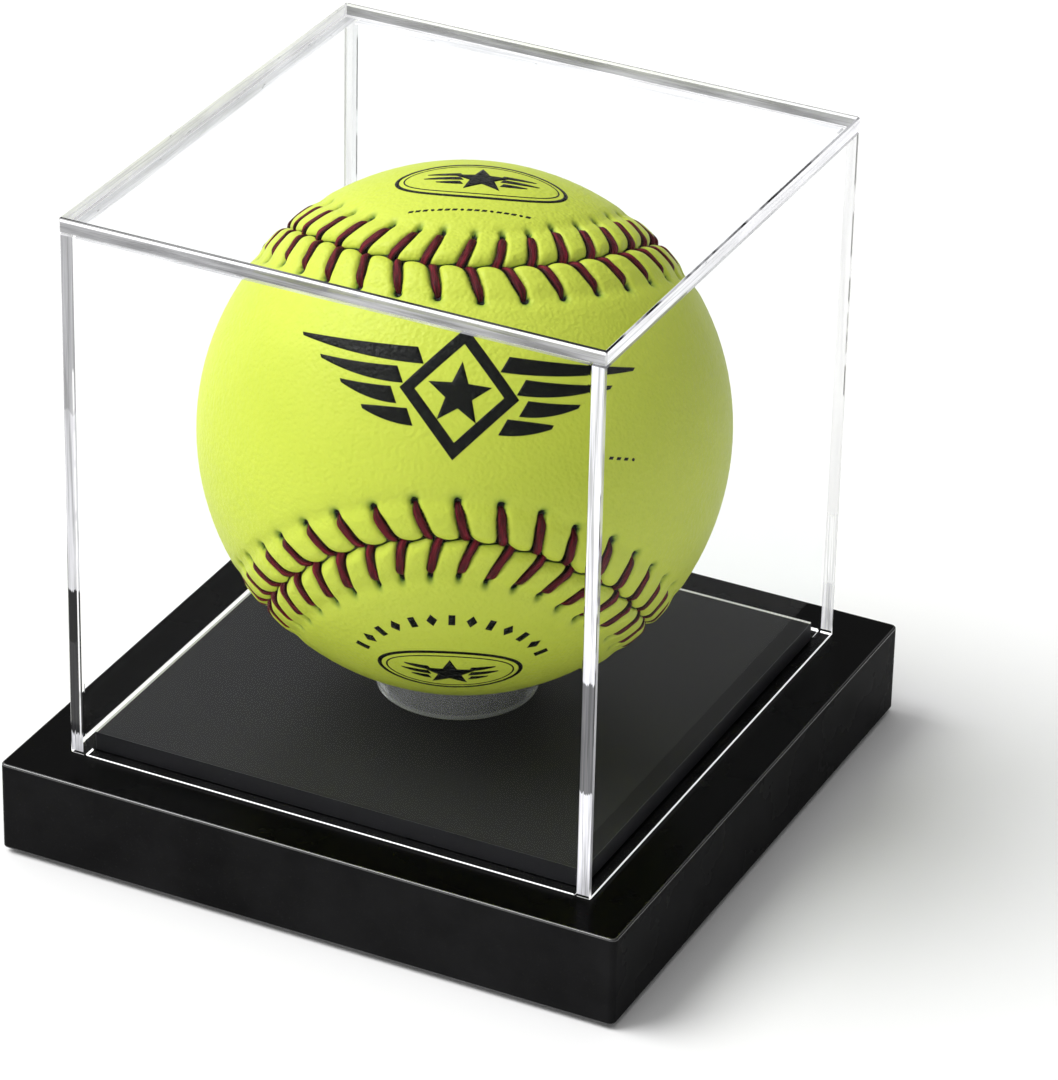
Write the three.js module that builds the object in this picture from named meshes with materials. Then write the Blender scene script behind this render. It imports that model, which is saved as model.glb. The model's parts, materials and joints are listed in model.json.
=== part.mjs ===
// A cube display case for one 12-inch ball: a square plinth on four pads, with a thin raised
// platform that centres a lift-off cover of five clear panels. A short clear ring on the
// platform cradles the ball, a solid core in two figure-eight leather panels and a sewn seam.
//
// Millimetres, +Z up. The origin is on the surface that the case stands on, below its centre.
// The front of the case is -Y.
import * as THREE from "three";
import { RoundedBoxGeometry } from "three/addons/geometries/RoundedBoxGeometry.js";
import { mergeVertices } from "three/addons/utils/BufferGeometryUtils.js";

// ---- Driving dimensions ----
// Base
const PLINTH_SIDE = 125;
const PLINTH_HEIGHT = 18;
const PLINTH_EDGE_RADIUS = 1.2;
const PAD_RADIUS = 6;
const PAD_HEIGHT = 1;
const PAD_INSET = 16; // from a side of the plinth to a pad's centre
const PLATFORM_HEIGHT = 3.4;

// Cover
const COVER_SIDE = 106;
const COVER_HEIGHT = 109;
const PANEL_THICKNESS = 3;
const GLUE_LINE = 0.05;
const PLATFORM_CLEARANCE = 0.3; // between the platform and each wall of the cover

// Cradle ring
const RING_OUTER_RADIUS = 15.3;
const RING_INNER_RADIUS = 13.2;
const RING_EDGE = 0.2; // chamfer on the ring's outer edges
const SEAT_WIDTH = 0.8; // sloping seat on the ring's inner rim
const SEAT_GAP = 0.3; // running clearance under the ball

// Ball
const BALL_RADIUS = 48.5;
const BALL_LIFT = 4.2; // from the platform up to the lowest point of the ball
const LEATHER_THICKNESS = 1.4;
const CORE_CLEARANCE = 0.7;
const SEAM_SHAPE = 0.75; // share of the slow harmonic in the seam's curve
const SEAM_GAP = 2.6; // between the two leather panels
const THREAD_WIDTH = 2;
const THREAD_DEPTH = 1.4;
const THREAD_PROUD = 0.1; // thread's crown above the leather
const BALL_FACING = THREE.MathUtils.degToRad(25); // turn of the narrow waist from the front
const BALL_TILT = THREE.MathUtils.degToRad(34); // tilt of the narrow waist above level
const BALL_LEAN = THREE.MathUtils.degToRad(1); // lean of the seams about the waist

// ---- Worked-out dimensions ----
const plinthTop = PAD_HEIGHT + PLINTH_HEIGHT;
const platformTop = plinthTop + PLATFORM_HEIGHT;
const coverInside = COVER_SIDE - 2 * PANEL_THICKNESS;
const platformSide = coverInside - 2 * PLATFORM_CLEARANCE;
const wallHeight = COVER_HEIGHT - PANEL_THICKNESS - 2 * GLUE_LINE;
const ballCentre = platformTop + BALL_LIFT + BALL_RADIUS;
const coreRadius = BALL_RADIUS - LEATHER_THICKNESS - CORE_CLEARANCE;

// ---- Fineness ----
const ROUND_STEPS = 48;
const PAD_STEPS = 24;
const EDGE_STEPS = 2;
const CORE_DETAIL = 8;
const SEAM_STEPS = 36; // along half of the seam
const PANEL_STEPS = 12; // across a leather panel

// ---- Materials ----
function material(color, roughness, extra = {}) {
  return new THREE.MeshStandardMaterial({ color, roughness, metalness: 0, ...extra });
}

const plinthMaterial = () => material(0x0b0b0b, 0.45);
const platformMaterial = () => material(0x1d1d1e, 0.3);
const padMaterial = () => material(0x161616, 0.9);
const coverMaterial = () => material(0xf6fafc, 0.03, { transparent: true, opacity: 0.25 });
const ringMaterial = () => material(0xe6e9ea, 0.15, { transparent: true, opacity: 0.4 });
const coreMaterial = () => material(0xcfc39a, 0.8);
const leatherMaterial = () => material(0xc3dc4c, 0.5);
const threadMaterial = () => material(0x6e1016, 0.65);

// ---- Helpers ----
function named(name, geometry, meshMaterial, position = [0, 0, 0]) {
  const mesh = new THREE.Mesh(geometry, meshMaterial);
  mesh.name = name;
  mesh.position.set(...position);
  return mesh;
}

function group(...children) {
  const made = new THREE.Group();
  made.add(...children);
  return made;
}

// A solid from rows of points: each row joins the next, and faces point out when the rows
// run anticlockwise seen from outside with the next row to their left.
function solidFromTriangles(triangles) {
  const geometry = new THREE.BufferGeometry();
  geometry.setAttribute("position", new THREE.Float32BufferAttribute(triangles.flat(), 3));
  const merged = mergeVertices(geometry, 1e-4);
  merged.computeVertexNormals();
  return merged;
}

// Two triangles for the quad a, b, c, d, without the one that a shared corner flattens.
function quad(a, b, c, d) {
  const halves = [
    [a, b, c],
    [a, c, d],
  ];
  const open = halves.filter(([p, q, r]) => !p.equals(q) && !q.equals(r) && !r.equals(p));
  return open.flat().map((corner) => corner.toArray());
}

// ---- Base ----
function makeBase() {
  const plinthShape = new RoundedBoxGeometry(
    PLINTH_SIDE,
    PLINTH_SIDE,
    PLINTH_HEIGHT,
    EDGE_STEPS,
    PLINTH_EDGE_RADIUS,
  );
  const plinth = named("plinth", plinthShape, plinthMaterial(), [0, 0, PAD_HEIGHT + PLINTH_HEIGHT / 2]);

  const platformShape = new THREE.BoxGeometry(platformSide, platformSide, PLATFORM_HEIGHT);
  const platformPlace = [0, 0, plinthTop + PLATFORM_HEIGHT / 2];
  const platform = named("platform", platformShape, platformMaterial(), platformPlace);

  const padCentre = PLINTH_SIDE / 2 - PAD_INSET;
  const pads = [
    [-1, -1],
    [1, -1],
    [1, 1],
    [-1, 1],
  ].map(([x, y], i) => {
    const shape = new THREE.CylinderGeometry(PAD_RADIUS, PAD_RADIUS, PAD_HEIGHT, PAD_STEPS);
    shape.rotateX(Math.PI / 2);
    return named(`foot_pad_${i + 1}`, shape, padMaterial(), [x * padCentre, y * padCentre, PAD_HEIGHT / 2]);
  });
  return group(plinth, platform, ...pads);
}

// ---- Cover ----
// The side walls run the full depth, the front and back walls fit between them, and the top
// lies over all four.
function makeCover() {
  const wallCentre = (COVER_SIDE - PANEL_THICKNESS) / 2;
  const frontLength = coverInside - 2 * GLUE_LINE;
  const wallMiddle = plinthTop + GLUE_LINE + wallHeight / 2;
  const wide = () => new THREE.BoxGeometry(PANEL_THICKNESS, COVER_SIDE, wallHeight);
  const narrow = () => new THREE.BoxGeometry(frontLength, PANEL_THICKNESS, wallHeight);
  const top = new THREE.BoxGeometry(COVER_SIDE, COVER_SIDE, PANEL_THICKNESS);
  const topMiddle = plinthTop + COVER_HEIGHT - PANEL_THICKNESS / 2;
  return group(
    named("cover_front", narrow(), coverMaterial(), [0, -wallCentre, wallMiddle]),
    named("cover_back", narrow(), coverMaterial(), [0, wallCentre, wallMiddle]),
    named("cover_left", wide(), coverMaterial(), [-wallCentre, 0, wallMiddle]),
    named("cover_right", wide(), coverMaterial(), [wallCentre, 0, wallMiddle]),
    named("cover_top", top, coverMaterial(), [0, 0, topMiddle]),
  );
}

// ---- Cradle ring ----
// Height of the seat at a radius, just under the ball.
function seatHeight(radius) {
  return ballCentre - Math.sqrt(BALL_RADIUS ** 2 - radius ** 2) - SEAT_GAP;
}

function makeRing() {
  const seatOuter = RING_INNER_RADIUS + SEAT_WIDTH;
  const rim = seatHeight(seatOuter);
  const floor = platformTop + GLUE_LINE;
  const profile = [
    [RING_INNER_RADIUS, floor],
    [RING_OUTER_RADIUS - RING_EDGE, floor],
    [RING_OUTER_RADIUS, floor + RING_EDGE],
    [RING_OUTER_RADIUS, rim - RING_EDGE],
    [RING_OUTER_RADIUS - RING_EDGE, rim],
    [seatOuter, rim],
    [RING_INNER_RADIUS, seatHeight(RING_INNER_RADIUS)],
    [RING_INNER_RADIUS, floor],
  ].map(([radius, height]) => new THREE.Vector2(radius, height));
  const shape = new THREE.LatheGeometry(profile, ROUND_STEPS);
  shape.rotateX(Math.PI / 2);
  return group(named("cradle_ring", shape, ringMaterial()));
}

// ---- Ball ----
// The seam on a unit sphere. Two panels of one shape fill the sphere on either side of it:
// one has its narrow waist at -Z and its lobes towards +X +Y and -X -Y.
function seamPoint(t) {
  const slow = SEAM_SHAPE;
  const fast = 1 - SEAM_SHAPE;
  return new THREE.Vector3(
    slow * Math.cos(t) + fast * Math.cos(3 * t),
    slow * Math.sin(t) - fast * Math.sin(3 * t),
    2 * Math.sqrt(slow * fast) * Math.sin(2 * t),
  );
}

// A unit vector across the seam, towards the panel whose waist is at -Z.
function acrossSeam(t) {
  const slow = SEAM_SHAPE;
  const fast = 1 - SEAM_SHAPE;
  const along = new THREE.Vector3(
    -slow * Math.sin(t) - 3 * fast * Math.sin(3 * t),
    slow * Math.cos(t) - 3 * fast * Math.cos(3 * t),
    4 * Math.sqrt(slow * fast) * Math.cos(2 * t),
  );
  return along.cross(seamPoint(t)).normalize();
}

// The seam's parameter, stepping from the tip of one lobe to the tip of the other.
function seamStep(k) {
  return Math.PI / 4 - (Math.PI * k) / SEAM_STEPS;
}

// The point at a share of the way along the great circle from one direction to another.
function alongArc(from, to, share) {
  const angle = from.angleTo(to);
  if (angle < 1e-6) {
    return from.clone();
  }
  const a = Math.sin((1 - share) * angle) / Math.sin(angle);
  const b = Math.sin(share * angle) / Math.sin(angle);
  return from.clone().multiplyScalar(a).addScaledVector(to, b);
}

// One leather panel: rows of points run across it from edge to edge, on the outer and the
// inner surface, and the rows at the tips of the lobes are single points.
function leatherPanel() {
  const inset = SEAM_GAP / 2 / BALL_RADIUS;
  const rows = [];
  for (let k = 0; k <= SEAM_STEPS; k += 1) {
    const t = seamStep(k);
    const edge = seamPoint(t).addScaledVector(acrossSeam(t), inset).normalize();
    if (k === 0 || k === SEAM_STEPS) {
      const middle = (edge.x + edge.y) / 2;
      edge.set(middle, middle, edge.z);
    }
    const far = new THREE.Vector3(edge.y, edge.x, edge.z);
    const row = [];
    for (let i = 0; i <= PANEL_STEPS; i += 1) {
      row.push(alongArc(edge, far, i / PANEL_STEPS));
    }
    rows.push(row);
  }

  const at = (k, i, radius) => rows[k][i].clone().multiplyScalar(radius);
  const outer = BALL_RADIUS;
  const inner = BALL_RADIUS - LEATHER_THICKNESS;
  const triangles = [];
  for (let k = 0; k < SEAM_STEPS; k += 1) {
    for (let i = 0; i < PANEL_STEPS; i += 1) {
      triangles.push(...quad(at(k, i, outer), at(k + 1, i, outer), at(k + 1, i + 1, outer), at(k, i + 1, outer)));
      triangles.push(...quad(at(k, i, inner), at(k, i + 1, inner), at(k + 1, i + 1, inner), at(k + 1, i, inner)));
    }
    const last = PANEL_STEPS;
    triangles.push(...quad(at(k, 0, outer), at(k, 0, inner), at(k + 1, 0, inner), at(k + 1, 0, outer)));
    triangles.push(...quad(at(k, last, outer), at(k + 1, last, outer), at(k + 1, last, inner), at(k, last, inner)));
  }
  return solidFromTriangles(triangles);
}

// The sewn thread as one closed band along the seam, with a crowned top.
function seamBand() {
  const top = BALL_RADIUS + THREAD_PROUD;
  const shoulder = BALL_RADIUS - THREAD_PROUD;
  const bottom = top - THREAD_DEPTH;
  const half = THREAD_WIDTH / 2;
  const section = [
    [-half, bottom],
    [half, bottom],
    [half, shoulder],
    [0, top],
    [-half, shoulder],
  ];
  const rings = [];
  for (let k = 0; k < 2 * SEAM_STEPS; k += 1) {
    const t = seamStep(k);
    const out = seamPoint(t);
    const across = acrossSeam(t);
    rings.push(section.map(([side, height]) => out.clone().multiplyScalar(height).addScaledVector(across, side)));
  }
  const triangles = [];
  rings.forEach((ring, k) => {
    const next = rings[(k + 1) % rings.length];
    ring.forEach((point, i) => {
      const j = (i + 1) % ring.length;
      triangles.push(...quad(point, ring[j], next[j], next[i]));
    });
  });
  return solidFromTriangles(triangles);
}

function makeBall() {
  const core = named("ball_core", new THREE.IcosahedronGeometry(coreRadius, CORE_DETAIL), coreMaterial());
  const front = named("leather_front", leatherPanel(), leatherMaterial());
  const rear = named("leather_rear", leatherPanel(), leatherMaterial());
  rear.rotation.x = Math.PI;
  const thread = named("seam_thread", seamBand(), threadMaterial());

  // Brings the waist of the front panel from -Z to the front, with the seams level.
  const upright = group(core, front, rear, thread);
  upright.rotation.set(-Math.PI / 2, 0, -Math.PI / 4, "XYZ");
  const leaning = group(upright);
  leaning.rotation.y = BALL_LEAN;
  const tilted = group(leaning);
  tilted.rotation.x = -BALL_TILT;
  const facing = group(tilted);
  facing.rotation.z = BALL_FACING;
  facing.position.z = ballCentre;
  return facing;
}

export default group(makeBase(), makeCover(), makeRing(), makeBall());
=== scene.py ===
"""The looks of a cube display case with a softball in it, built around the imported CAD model.

Lengths are in metres. The ball is worked out in millimetres in a frame of its own (strands of
the seam along X, narrow waist of the front panel towards -Y) and turned into place at the end.
"""

import json
import math

import bmesh
import bpy
import numpy as np
from mathutils import Matrix, Vector, geometry


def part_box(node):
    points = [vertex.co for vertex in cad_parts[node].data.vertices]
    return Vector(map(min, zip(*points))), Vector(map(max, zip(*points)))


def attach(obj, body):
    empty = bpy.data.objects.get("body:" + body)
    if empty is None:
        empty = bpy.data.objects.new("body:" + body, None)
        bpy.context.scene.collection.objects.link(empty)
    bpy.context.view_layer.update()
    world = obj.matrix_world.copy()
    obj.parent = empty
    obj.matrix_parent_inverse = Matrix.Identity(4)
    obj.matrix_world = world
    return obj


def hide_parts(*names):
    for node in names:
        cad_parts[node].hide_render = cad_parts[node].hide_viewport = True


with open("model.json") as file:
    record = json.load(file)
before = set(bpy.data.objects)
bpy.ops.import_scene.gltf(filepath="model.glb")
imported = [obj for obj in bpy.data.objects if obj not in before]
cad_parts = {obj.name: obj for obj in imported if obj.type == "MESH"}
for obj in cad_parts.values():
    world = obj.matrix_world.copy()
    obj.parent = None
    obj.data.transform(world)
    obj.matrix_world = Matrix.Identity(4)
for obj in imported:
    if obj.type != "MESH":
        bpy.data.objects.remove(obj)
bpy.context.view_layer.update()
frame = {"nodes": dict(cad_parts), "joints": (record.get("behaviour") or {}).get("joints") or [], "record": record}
MM = 0.001

# ---- Camera, at the photograph's viewing angle ----
CAMERA_AZIMUTH = math.radians(25.8)
CAMERA_ELEVATION = math.radians(29.2)
CAMERA_ROLL = math.radians(1.33)
CAMERA_AIM = Vector((0.0015, 0.0253, 0.0397))
CAMERA_DISTANCE = 1.061
CAMERA_LENS = 187.2
CAMERA_SENSOR = 36.0

# ---- Ball ----
WAIST_TURN = math.radians(25)
WAIST_TILT = math.radians(34)
SEAM_LEAN = math.radians(1)
SEAM_SHAPE = 0.75
STITCHES = 75
STITCH_PHASE = 0.335
SIDE_OFFSET = 1.8  # a stitch's two legs miss each other by this much along the seam
STITCH_SLANT = {1: 2.1, -1: 2.6}  # from a leg's foot at the seam to its hole, along the seam
HOLE_DISTANCE = 7.2  # from the seam to the row of holes
SLOT_DEPTH = 1.25
SLOT_HALF_WIDTH = 0.76
SLOT_FILLET = 0.95
SEAM_HALF_GAP = 0.12
SEAM_FILLET = 2.3
SEAM_WAVE = 0.3  # the seam's line sways by this much between one stitch and the next
THREAD_HALF_WIDTH = 0.78
THREAD_HALF_DEPTH = 0.5
SAMPLES_PER_STITCH = 24
BAND_WIDTH = 10.5  # the worked strip of leather beside the seam
INNER_DEPTH = 1.6  # of a panel's inner face under the ball's surface

rng = np.random.default_rng(12)


# =============================== Materials ===============================
BLACK = (0, 0, 0, 1)
WHITE = (1, 1, 1, 1)


def grey(level, blue=1.0):
    """A grey, with its blue a little stronger than the rest where blue is over 1."""
    return (level, level, level * blue, 1)


class Shader:
    """A material's node tree, with short calls to add nodes and to join them."""

    def __init__(self, name):
        self.material = bpy.data.materials.new(name)
        self.material.use_nodes = True
        self.tree = self.material.node_tree
        self.bsdf = self.tree.nodes["Principled BSDF"]
        self.output = self.tree.nodes["Material Output"]
        places = self.add("ShaderNodeTexCoord")
        self.coords = places.outputs["Object"]
        self.uv = places.outputs["UV"]

    def add(self, kind, settings=None, **inputs):
        node = self.tree.nodes.new(kind)
        for key, value in (settings or {}).items():
            setattr(node, key, value)
        for key, value in inputs.items():
            self.put(node.inputs[key.replace("_", " ")], value)
        return node

    def put(self, socket, value):
        if isinstance(value, bpy.types.NodeSocket):
            self.tree.links.new(value, socket)
        else:
            socket.default_value = value

    def set(self, **inputs):
        for key, value in inputs.items():
            self.put(self.bsdf.inputs[key.replace("_", " ")], value)

    def noise(self, scale, detail=3.0, roughness=0.5, coords=None, distortion=0.0):
        node = self.add(
            "ShaderNodeTexNoise", Scale=scale, Detail=detail, Roughness=roughness, Distortion=distortion
        )
        self.put(node.inputs["Vector"], coords or self.coords)
        return node.outputs["Fac"]

    def cells(self, scale, feature="F1"):
        node = self.add("ShaderNodeTexVoronoi", {"feature": feature}, Scale=scale, Vector=self.coords)
        return node.outputs["Distance"]

    def stretched(self, *scale):
        """The UVs, scaled along and across."""
        return self.add("ShaderNodeMapping", Vector=self.uv, Scale=(*scale, 1.0)).outputs["Vector"]

    def part(self, vector, axis):
        return self.add("ShaderNodeSeparateXYZ", Vector=vector).outputs[axis]

    def remap(self, value, low, high, to_low, to_high):
        node = self.add("ShaderNodeMapRange")
        for socket, v in zip(node.inputs, (value, low, high, to_low, to_high)):
            self.put(socket, v)
        return node.outputs["Result"]

    def between(self, value, low, high, soft):
        """1 from low to high, fading over a length of soft above each."""
        rise = self.remap(value, low, low + soft, 0.0, 1.0)
        return self.math("MULTIPLY", rise, self.remap(value, high, high + soft, 1.0, 0.0))

    def math(self, operation, a, b=0.0):
        node = self.add("ShaderNodeMath", {"operation": operation})
        self.put(node.inputs[0], a)
        self.put(node.inputs[1], b)
        return node.outputs["Value"]

    def mix(self, share, a, b):
        node = self.add("ShaderNodeMix", {"data_type": "RGBA"})
        self.put(node.inputs["Factor"], share)
        self.put(node.inputs[6], a)
        self.put(node.inputs[7], b)
        return node.outputs[2]

    def attribute(self, name):
        return self.add("ShaderNodeAttribute", {"attribute_name": name}).outputs["Fac"]

    def bump(self, *layers):
        """Stacks bumps, each (height, strength, distance), and feeds the shader's normal."""
        normal = None
        for height, strength, distance in layers:
            node = self.add("ShaderNodeBump", Height=height, Strength=strength, Distance=distance)
            if normal is not None:
                self.put(node.inputs["Normal"], normal)
            normal = node.outputs["Normal"]
        self.set(Normal=normal)


def lacquer(name, depth, gloss, rough, dust=3.5):
    """Satin black lacquer: fine orange peel, drifts of slight wear and dust-like specks.

    depth: how pale the black is. rough: lowest and highest. dust: how much paler the specks are.
    """
    s = Shader(name)
    specks = s.remap(s.noise(2600, 2.0), 0.64, 0.72, 0.0, 0.5)
    cloud = s.remap(s.noise(35, 5.0, 0.6), 0.35, 0.7, 0.0, 1.0)
    colour = s.mix(cloud, grey(depth * 0.7, 1.04), grey(depth * 1.5, 1.04))
    s.set(
        Base_Color=s.mix(specks, colour, grey(depth * dust)),
        Roughness=s.remap(s.noise(60, 4.0), 0.3, 0.7, *rough),
        Specular_IOR_Level=gloss,
    )
    s.bump((s.noise(700, 3.0), 0.22, 0.00004), (s.noise(3400, 2.0), 0.3, 0.00001))
    return s.material


def black_acrylic(name, depth, gloss):
    """Polished black sheet with a faint haze of fine scratches and dust."""
    s = Shader(name)
    haze = s.remap(s.noise(14, 2.0), 0.3, 0.7, 0.0, 1.0)
    dust = s.remap(s.noise(2200, 2.0), 0.68, 0.74, 0.0, 0.4)
    colour = s.mix(haze, grey(depth, 1.12), grey(depth * 1.35, 1.11))
    s.set(
        Base_Color=s.mix(dust, colour, grey(depth * 3)),
        Roughness=s.remap(haze, 0.0, 1.0, 0.34, 0.44),
        Specular_IOR_Level=gloss,
    )
    s.bump((s.noise(1500, 2.0), 0.15, 0.000008))
    return s.material


def cut_lip_painted_highlight():
    """Frosted inner slope of the lip that a cut leaves, painted pale with a faint white glowing light: a painted
    highlight, patchy along the lip.
    """
    s = Shader("cut_lip_painted_highlight")
    patchy_highlight = s.remap(s.noise(70, 3.0), 0.35, 0.6, 0.0, 1.0)
    s.set(
        Base_Color=s.mix(patchy_highlight, grey(0.55), grey(0.92)),
        Roughness=0.35,
        Emission_Color=WHITE,
        Emission_Strength=0.25,
    )
    return s.material


def pad_rubber():
    s = Shader("pad_rubber")
    s.set(
        Base_Color=s.mix(s.noise(400, 3.0), grey(0.009), grey(0.02)),
        Roughness=s.remap(s.noise(700, 2.0), 0.3, 0.7, 0.7, 0.9),
        Specular_IOR_Level=0.25,
    )
    s.bump((s.noise(2500, 3.0), 0.4, 0.00004))
    return s.material


def lets_lamps_through(s, tint, glossy):
    """Finishes a clear material: lamps and bounced light pass it as if it were not there.

    glossy: mirrored rays pass it too, so that the sheets don't mirror one another.
    """
    path = s.add("ShaderNodeLightPath")
    through = s.math("MAXIMUM", path.outputs["Is Shadow Ray"], path.outputs["Is Diffuse Ray"])
    if glossy:
        through = s.math("MAXIMUM", through, path.outputs["Is Glossy Ray"])
    open_air = s.add("ShaderNodeBsdfTransparent", Color=tint)
    mixed = s.add("ShaderNodeMixShader")
    s.put(mixed.inputs[0], through)
    s.put(mixed.inputs[1], s.bsdf.outputs["BSDF"])
    s.put(mixed.inputs[2], open_air.outputs["BSDF"])
    s.put(s.output.inputs["Surface"], mixed.outputs["Shader"])


def clear_sheet():
    """Thin clear sheet: what is behind it shows unbent, under a light mirror film."""
    s = Shader("clear_acrylic")
    s.set(
        Base_Color=WHITE,
        Roughness=0.0,
        IOR=1.01,
        Transmission_Weight=1.0,
        Coat_Weight=0.1,
        Coat_Roughness=0.0,
        Coat_IOR=1.49,
    )
    lets_lamps_through(s, (0.98, 0.985, 0.985, 1), glossy=True)
    return s.material


def sheet_edge(name, solid, tones, painted_glow, split):
    """Sawn and polished edge of clear sheet, which gathers light: that light and its shade are painted on, streaks
    run along it, and it glows.

    solid: its mean cover. tones: darkest and palest streak, painted shade and painted light. glow: strength of its
    painted light.
    split: how much whiter, as a painted highlight, the quarter of the edge beside the outer face is.
    """
    s = Shader(name)
    streaks = s.noise(1.0, 3.0, 0.55, coords=s.stretched(0.045, 5.0), distortion=0.5)
    drift = s.noise(1.0, 2.0, coords=s.stretched(0.05, 0.6))
    blended = s.math("ADD", streaks, s.math("MULTIPLY", drift, 0.8))
    tone = s.remap(blended, 0.7, 1.1, *tones)
    # Painted highlight: the quarter of the edge beside the outer face is whiter.
    outer = s.math("MULTIPLY", s.remap(s.part(s.uv, "Y"), 0.7, 0.76, 0.0, 1.0), split)
    flat = s.add("ShaderNodeCombineColor", Red=tone, Green=tone, Blue=s.math("MULTIPLY", tone, 1.03))
    bubbles = s.remap(s.noise(1.0, 2.0, coords=s.stretched(0.3, 2.2)), 0.69, 0.73, 0.0, 0.7)
    colour = s.mix(outer, flat.outputs["Color"], (0.98, 0.98, 1.0, 1))
    colour = s.mix(bubbles, colour, (0.2, 0.2, 0.21, 1))
    s.set(
        Base_Color=colour,
        Roughness=0.12,
        Specular_IOR_Level=0.5,
        Alpha=s.remap(streaks, 0.35, 0.65, solid - 0.1, min(solid + 0.1, 1.0)),
        Emission_Color=colour,
        Emission_Strength=painted_glow,
    )
    s.bump((streaks, 0.2, 0.0001))
    return s.material


def upright_edge(name, stretches, line, painted_glow):
    """Upright edge of a wall, which gathers light: its light and shade are painted on, in stretches of different
    tone and cover, with one long line, and it glows.

    The heights in stretches and line are in metres.
    """
    s = Shader(name)
    height = s.part(s.coords, "Z")
    streaks = s.noise(1.0, 3.0, 0.6, coords=s.stretched(0.04, 6.0), distortion=0.6)
    wander = s.math("ADD", height, s.remap(streaks, 0.3, 0.7, -0.0008, 0.0008))
    tone, cover = stretches[0][1:]
    for (end, *_), (_, next_tone, next_cover) in zip(stretches[:-1], stretches[1:]):
        tone = s.remap(wander, end - 0.0001, end + 0.0002, tone, next_tone)
        cover = s.remap(wander, end - 0.0001, end + 0.0002, cover, next_cover)
    tone = s.math("MULTIPLY", tone, s.remap(streaks, 0.38, 0.62, 0.55, 1.12))
    left, right, low, high, line_tone = line
    inside = s.between(s.part(s.uv, "Y"), left, right, 0.03)
    reach = s.between(height, low, high, 0.001)
    broken = s.remap(s.noise(1.0, 2.0, coords=s.stretched(0.11, 0.3)), 0.4, 0.5, 0.25, 1.0)
    # The long line: a painted highlight where its tone is white, a dark line where it is dark.
    long_line = s.math("MULTIPLY", s.math("MULTIPLY", inside, reach), broken)
    flat = s.add("ShaderNodeCombineColor", Red=tone, Green=tone, Blue=s.math("MULTIPLY", tone, 1.05))
    colour = s.mix(long_line, flat.outputs["Color"], grey(line_tone))
    s.set(
        Base_Color=colour,
        Roughness=0.12,
        Specular_IOR_Level=0.3,
        Alpha=s.math("MAXIMUM", cover, s.math("MULTIPLY", long_line, 0.9)),
        Emission_Color=colour,
        Emission_Strength=painted_glow,
    )
    s.bump((streaks, 0.2, 0.0001))
    return s.material


def foot_rim():
    """Sawn underside of a wall: lost on the black base, and a grey line once the cover is lifted."""
    s = Shader("acrylic_foot_rim")
    s.set(
        Base_Color=s.mix(s.noise(300, 3.0), grey(0.008), (0.03, 0.03, 0.031, 1)),
        Roughness=0.3,
        Specular_IOR_Level=0.05,
        Alpha=s.remap(s.noise(90, 2.0), 0.35, 0.65, 0.4, 0.6),
    )
    return s.material


def sheet_arris(low, high):
    """Thin chamfers of clear sheet, with painted light and shade: white and glowing along its foot, pale upright,
    dark around its top, broken by pale patches along the top's sides.

    The left wall's are painted dark low down. low, high: corners of the whole cover.
    """
    s = Shader("acrylic_arris_painted_light")
    sideways, height = s.part(s.coords, "X"), s.part(s.coords, "Z")
    foot = s.remap(height, low.z + 0.75 * MM, low.z + 2.45 * MM, 1.0, 0.0)
    crown = s.remap(height, high.z - 0.6 * MM, high.z - 0.3 * MM, 0.0, 1.0)
    side = s.remap(s.math("ABSOLUTE", sideways), high.x - 0.7 * MM, high.x - 0.5 * MM, 0.0, 1.0)
    low_down = s.remap(height, low.z + 41 * MM, low.z + 47 * MM, 1.0, 0.0)
    left = s.remap(sideways, low.x + 3 * MM, low.x + 3.5 * MM, 1.0, 0.0)
    left = s.math("MULTIPLY", left, low_down)
    breaks = s.remap(s.noise(45, 2.0), 0.45, 0.62, 0.0, 1.0)
    upright = s.mix(breaks, (0.34, 0.34, 0.36, 1), (0.7, 0.7, 0.72, 1))
    upright = s.mix(left, upright, grey(0.01))
    dark = s.mix(breaks, (0.008, 0.008, 0.009, 1), (0.1, 0.1, 0.105, 1))
    gaps = s.remap(s.noise(70, 3.0), 0.46, 0.54, 0.0, 1.0)
    dark = s.mix(s.math("MULTIPLY", side, gaps), dark, (0.56, 0.56, 0.58, 1))
    colour = s.mix(crown, s.mix(foot, upright, WHITE), dark)
    s.set(
        Base_Color=colour,
        Roughness=0.15,
        Alpha=s.remap(s.math("ADD", s.math("ADD", foot, crown), left), 0.0, 1.0, 0.6, 1.0),
        Emission_Color=s.mix(foot, s.mix(0.6, colour, BLACK), colour),
        Emission_Strength=0.9,
    )
    return s.material


def ring_plastic():
    """Clear cast tube, slightly hazy from handling."""
    s = Shader("ring_acrylic")
    s.set(
        Base_Color=s.mix(s.noise(160, 3.0), (0.80, 0.81, 0.82, 1), (0.9, 0.91, 0.92, 1)),
        Roughness=0.14,
        IOR=1.35,
        Transmission_Weight=0.8,
        Specular_IOR_Level=0.5,
    )
    s.bump((s.noise(90, 2.0), 0.15, 0.0001))
    lets_lamps_through(s, (0.94, 0.945, 0.945, 1), glossy=False)
    return s.material


def leather_grain(s, strength):
    """Pebble grain, its fine pores, and slow unevenness, as bump layers."""
    pebbles = s.cells(1350, "SMOOTH_F1")
    return (
        (s.noise(140, 2.0), 0.3 * strength, 0.0003),
        (s.noise(620, 3.0, 0.6), 0.45 * strength, 0.00016),
        (pebbles, 0.6 * strength, 0.00022),
        (s.noise(3800, 3.0), 0.35 * strength, 0.00005),
    )


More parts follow.
